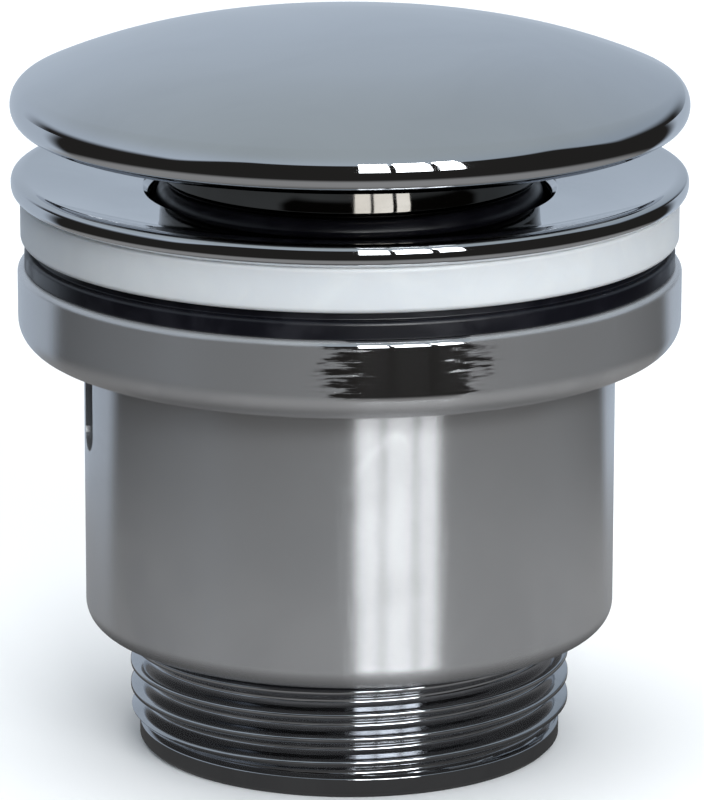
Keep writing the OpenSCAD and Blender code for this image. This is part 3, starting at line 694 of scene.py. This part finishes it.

# Plug boss: plated brass cup soldered under the cap, with a post that screws on to
# the plunger's stud. Its plating colour is painted near black as shade, standing in for
# the shade under the cap.
boss_chrome_painted_shade = plated("boss_chrome_painted_shade", dull=(0.03, 0.07), fineness=6000.0, ring_depth=0.0004, film_size=80.0,
                     dark=(0.066, 0.06, 0.052), light=(0.08, 0.074, 0.066))
BOSS_R, CUP_R = 17.6, 15.4
STUD_R, POST_R, POST_TOP = 3.05, 6.0, 61.0
CUP_FLOOR = 57.0
turned("plug_boss_cup", rounded([
    (STUD_R, PLUG_LOW, 0.2), (SPIGOT_R, PLUG_LOW, 0.2), (SPIGOT_R, BOSS_LOW, 0.1), (BOSS_R, BOSS_LOW, 0.8),
    (BOSS_R, 66.43, 0.05), (CUP_R, 66.76, 0.05), (CUP_R, CUP_FLOOR, 0.4), (POST_R, CUP_FLOOR, 0.3),
    (POST_R, POST_TOP, 0.3), (STUD_R, POST_TOP, 0.2),
]), boss_chrome_painted_shade, "cap_unit", "chrome", "plug_boss")

# Domed cap: brass pressing, polished and chrome plated. A flat crown falls away to a
# rounded edge, which turns in below its widest ring to a narrow lip.
cap_chrome = plated("cap_chrome", dull=(0.025, 0.06), fineness=5000.0, ring_depth=0.0003, film_size=40.0,
                    dark=(0.66, 0.67, 0.69), light=(0.71, 0.72, 0.74))
CAP_R = 31.86
WIDE_Z = 62.1
APEX_Z = 69.493
CROWN_R = 112.0
CROWN_HALF = 17.0
DOME_R = 53.5
CAP_WALL = 1.6
LIP_IN = 29.4
crown_cz = APEX_Z - CROWN_R
crown_a = math.asin(CROWN_HALF / CROWN_R)
dome_cx = CROWN_HALF - DOME_R * math.sin(crown_a)
dome_cz = crown_cz + (CROWN_R - DOME_R) * math.cos(crown_a)
edge_low = rolled(CAP_R, WIDE_Z, 0, [(2.4, -20, 6), (1.94, -90, 14)])
edge_high = rolled(CAP_R, WIDE_Z, 0, [(2.4, 22, 8), (2.34, 64.5, 10)])
crown_deg = math.degrees(crown_a)
shoulder_deg = math.degrees(math.asin((edge_high[-1][0] - dome_cx) / DOME_R))
inside_deg = math.degrees(math.asin((LIP_IN - dome_cx) / (DOME_R - CAP_WALL)))
turned("dome_cap_shell", rounded(
    [(LIP_IN, edge_low[-1][1], 0.15)]
    + edge_low[::-1] + [(CAP_R, WIDE_Z, 0)] + edge_high
    + sweep(dome_cx, dome_cz, DOME_R, 91 - shoulder_deg, 90 - crown_deg, 24)
    + sweep(0, crown_cz, CROWN_R, 90.5 - crown_deg, 90, 16)
    + sweep(0, crown_cz, CROWN_R - CAP_WALL, 90, 90.5 - crown_deg, 12)
    + sweep(dome_cx, dome_cz, DOME_R - CAP_WALL, 90 - crown_deg, 90 - inside_deg, 18)
), cap_chrome, "cap_unit", "chrome", "dome_cap")

# Studio: pale floor under soft light. Reflections see what stood round the real part: a
# light wall behind it, sky above, a dark room in front beyond a sheet that it stands on,
# with a painted shadow round its foot, and a window of three panes to the right of the
# camera. Sizes are in metres.
PALE = (0.93, 0.93, 0.93)
BACK_TONE = (0.47, 0.54, 0.63)
SIDE_TONE = (0.33, 0.39, 0.46)
ZENITH_TONE = (0.38, 0.43, 0.46)
FRONT_TONE = (0.020, 0.019, 0.018)
SHEET_TONE = (0.28, 0.28, 0.28)
# Painted shadow: tone of the floor round the part's foot, where its own shadow falls
FOOT_SHADOW_TONE = (0.07, 0.07, 0.07)
ROOM_TURN = 9.5
HIGH_TURN = 20.0


def facing(tree, x, y, reach, turn):
    """Value that falls from 1 in front, turned to the right by so many degrees, to -1 behind."""
    right, near = math.sin(math.radians(turn)), math.cos(math.radians(turn))
    toward = calc(tree, "SUBTRACT", calc(tree, "MULTIPLY", x, right), calc(tree, "MULTIPLY", y, near))
    return calc(tree, "DIVIDE", toward, calc(tree, "MAXIMUM", reach, 0.001))


def bare(owner):
    """Node tree of a material or world, emptied."""
    owner.use_nodes = True
    owner.node_tree.nodes.clear()
    return owner.node_tree


floor_mesh = bpy.data.meshes.new("studio_floor")
floor_shape = bmesh.new()
bmesh.ops.create_circle(floor_shape, cap_ends=True, radius=5.0, segments=96)
floor_shape.to_mesh(floor_mesh)
floor_shape.free()
floor = bpy.data.objects.new("studio_floor", floor_mesh)
bpy.context.scene.collection.objects.link(floor)
floor_paint = bpy.data.materials.new("studio_floor")
tree = bare(floor_paint)
place = add(tree, "ShaderNodeTexCoord").outputs["Object"]
x, y, _ = add(tree, "ShaderNodeSeparateXYZ", {0: place}).outputs
reach = length(tree, x, y)
ahead = spread(tree, facing(tree, x, y, reach, ROOM_TURN), -0.66, -0.48)
beyond = spread(tree, reach, 0.085, 0.125)
# Painted shadow: in reflections the floor darkens towards the part's foot, then lightens out to the sheet
sheet = tint(tree, spread(tree, reach, 0.026, 0.060), FOOT_SHADOW_TONE, SHEET_TONE)
tone = tint(tree, beyond, sheet, tint(tree, ahead, BACK_TONE, FRONT_TONE))
mirrored = add(tree, "ShaderNodeEmission", {"Color": tone}).outputs[0]
seen = add(tree, "ShaderNodeBsdfDiffuse", {"Color": (*PALE, 1)}).outputs[0]
ray = add(tree, "ShaderNodeLightPath").outputs["Is Camera Ray"]
both = add(tree, "ShaderNodeMixShader", {0: ray, 1: mirrored, 2: seen}).outputs[0]
# From below the floor is clear, so that the part's underside can be looked at
below = add(tree, "ShaderNodeNewGeometry").outputs["Backfacing"]
clear = add(tree, "ShaderNodeBsdfTransparent").outputs[0]
shown = add(tree, "ShaderNodeMixShader", {0: below, 1: both, 2: clear}).outputs[0]
add(tree, "ShaderNodeOutputMaterial", {"Surface": shown})
floor_mesh.materials.append(floor_paint)

# Panes from one bearing to another in degrees, in rows with a foot, a top and a strength
PANES = ((3.0, 13.0), (15.0, 27.0), (29.5, 38.0))
PANE_FAR = 1.6
PANE_ROWS = ((0.03, 0.36, 6.5), (0.385, 0.70, 6.5), (0.725, 1.15, 14.0))
for row, (low, high, strength) in enumerate(PANE_ROWS):
    pane_light = bpy.data.materials.new(f"window_pane_{row}")
    tree = bare(pane_light)
    glow = add(tree, "ShaderNodeEmission", {"Color": (0.95, 0.98, 1.0, 1), "Strength": strength}).outputs[0]
    add(tree, "ShaderNodeOutputMaterial", {"Surface": glow})
    for column, edges in enumerate(PANES):
        left, right = [(PANE_FAR * math.sin(a), -PANE_FAR * math.cos(a)) for a in map(math.radians, edges)]
        mesh = bpy.data.meshes.new(f"window_pane_{column}_{row}")
        mesh.from_pydata([(*left, low), (*left, high), (*right, high), (*right, low)], [], [(0, 1, 2, 3)])
        mesh.materials.append(pane_light)
        pane = bpy.data.objects.new(mesh.name, mesh)
        bpy.context.scene.collection.objects.link(pane)
        pane.visible_camera = False

LAMPS = (("soft_top", 18, 1.6, (0, 0, 1.4)), ("soft_right", 1.2, 0.7, (0.9, -0.7, 0.35)))
LAMP_AIM = Vector((0, 0, 0.04))
for name, watts, width, spot in LAMPS:
    soft = bpy.data.lights.new(name, "AREA")
    soft.shape = "DISK"
    soft.size = width
    soft.energy = watts
    lamp = bpy.data.objects.new(name, soft)
    lamp.location = spot
    lamp.rotation_euler = (LAMP_AIM - lamp.location).to_track_quat("-Z", "Y").to_euler()
    lamp.visible_camera = False
    lamp.visible_glossy = False
    bpy.context.scene.collection.objects.link(lamp)

world = bpy.data.worlds.new("studio")
bpy.context.scene.world = world
tree = bare(world)
place = add(tree, "ShaderNodeTexCoord").outputs["Generated"]
x, y, z = add(tree, "ShaderNodeSeparateXYZ", {0: place}).outputs
wall = tint(tree, spread(tree, x, -0.2, 0.8), BACK_TONE, SIDE_TONE)
sky = tint(tree, spread(tree, z, 0.15, 1.0), wall, ZENITH_TONE)
# The room is darkest in front, where it also reaches highest
reach = length(tree, x, y)
high = facing(tree, x, y, reach, HIGH_TURN)
room_top = spread(tree, high, 0.12, 0.60, 0.07, 0.44)
room_fade = calc(tree, "ADD", room_top, spread(tree, high, -0.2, 0.8, 0.22, 0.06))
ahead = spread(tree, facing(tree, x, y, reach, ROOM_TURN), -0.90, -0.62)
room = calc(tree, "MULTIPLY", ahead, spread(tree, z, room_fade, room_top))
surround = tint(tree, room, sky, FRONT_TONE)
ray = add(tree, "ShaderNodeLightPath").outputs["Is Camera Ray"]
shine = add(tree, "ShaderNodeBackground", {"Color": tint(tree, ray, surround, PALE)}).outputs[0]
add(tree, "ShaderNodeOutputWorld", {"Surface": shine})
bpy.context.scene.view_settings.view_transform = "Standard"

# Camera: a long lens 0.58 m from the part, looking down on it by 14.8 degrees and rolled
# a little, as the photograph's was.
AIM = Vector((0.00023, 0, 0.033118))
PITCH = math.radians(14.8)
ROLL = math.radians(0.08)
DISTANCE = 0.58
LENS = 275.06
camera_data = bpy.data.cameras.new("camera")
camera_data.lens = LENS
camera_data.clip_start = 0.01
camera = bpy.data.objects.new("camera", camera_data)
camera.location = AIM + DISTANCE * Vector((0, -math.cos(PITCH), math.sin(PITCH)))
tilt = Matrix.Rotation(math.pi / 2 - PITCH, 3, "X") @ Matrix.Rotation(ROLL, 3, "Z")
camera.rotation_euler = tilt.to_euler()
bpy.context.scene.collection.objects.link(camera)
bpy.context.scene.camera = camera
